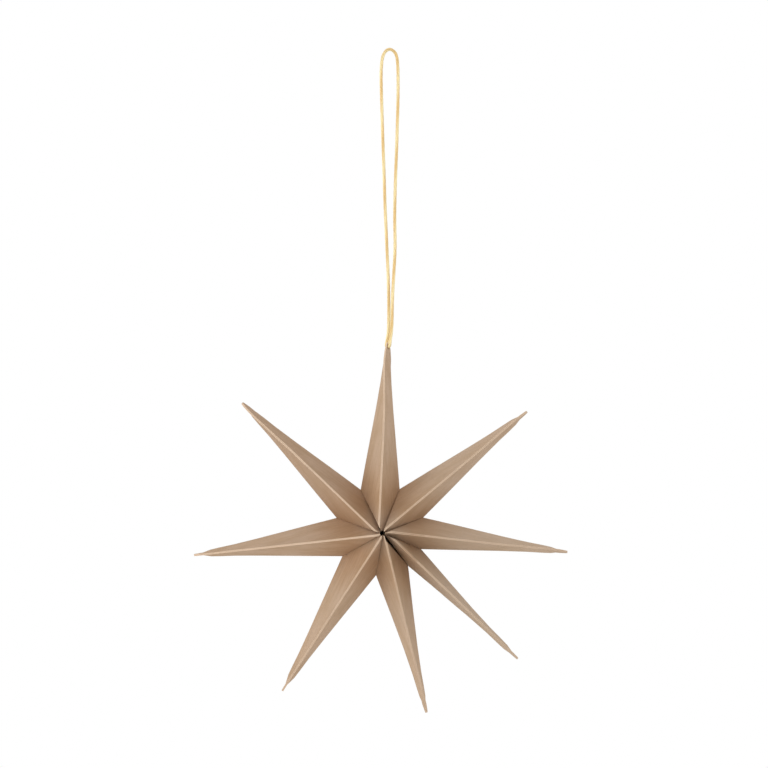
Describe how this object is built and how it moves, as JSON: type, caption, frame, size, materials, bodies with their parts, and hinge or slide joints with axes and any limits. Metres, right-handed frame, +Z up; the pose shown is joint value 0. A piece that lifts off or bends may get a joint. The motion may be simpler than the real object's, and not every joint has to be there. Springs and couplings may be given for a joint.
{
  "type": "paper star",
  "caption": "hanging paper star of hollow creased card prongs with glued raw-edge ridges, held open by a magnetic seam, on a metallic cord loop",
  "frame": {"origin": "where the star hangs: the underside of the cord at the top of its loop", "axes": "+Z is up, the star's front faces -Y and its prongs lie in the XZ plane"},
  "size_m": [0.1489, 0.0417, 0.2649],
  "materials": {
    "card": "uncoated kraft card, creased, with pale raw edges",
    "gold_cord": "twisted metallic gold yarn",
    "magnet": "nickel-plated disc magnet"
  },
  "bodies": {
    "root": {"top_prong_left_leaf": "card", "top_prong_right_leaf": "card", "upper_right_prong_left_leaf": "card", "upper_right_prong_right_leaf": "card", "right_prong_left_leaf": "card", "right_prong_right_leaf": "card", "lower_right_prong_left_leaf": "card", "lower_right_prong_right_leaf": "card", "bottom_prong_left_leaf": "card", "bottom_prong_right_leaf": "card", "lower_left_prong_left_leaf": "card", "lower_left_prong_right_leaf": "card", "left_prong_left_leaf": "card", "left_prong_right_leaf": "card", "upper_left_prong_left_leaf": "card", "upper_left_prong_right_leaf": "card", "hanging_cord": "gold_cord", "lower_right_seam_magnet": "magnet", "bottom_seam_magnet": "magnet"}
  },
  "joints": []
}
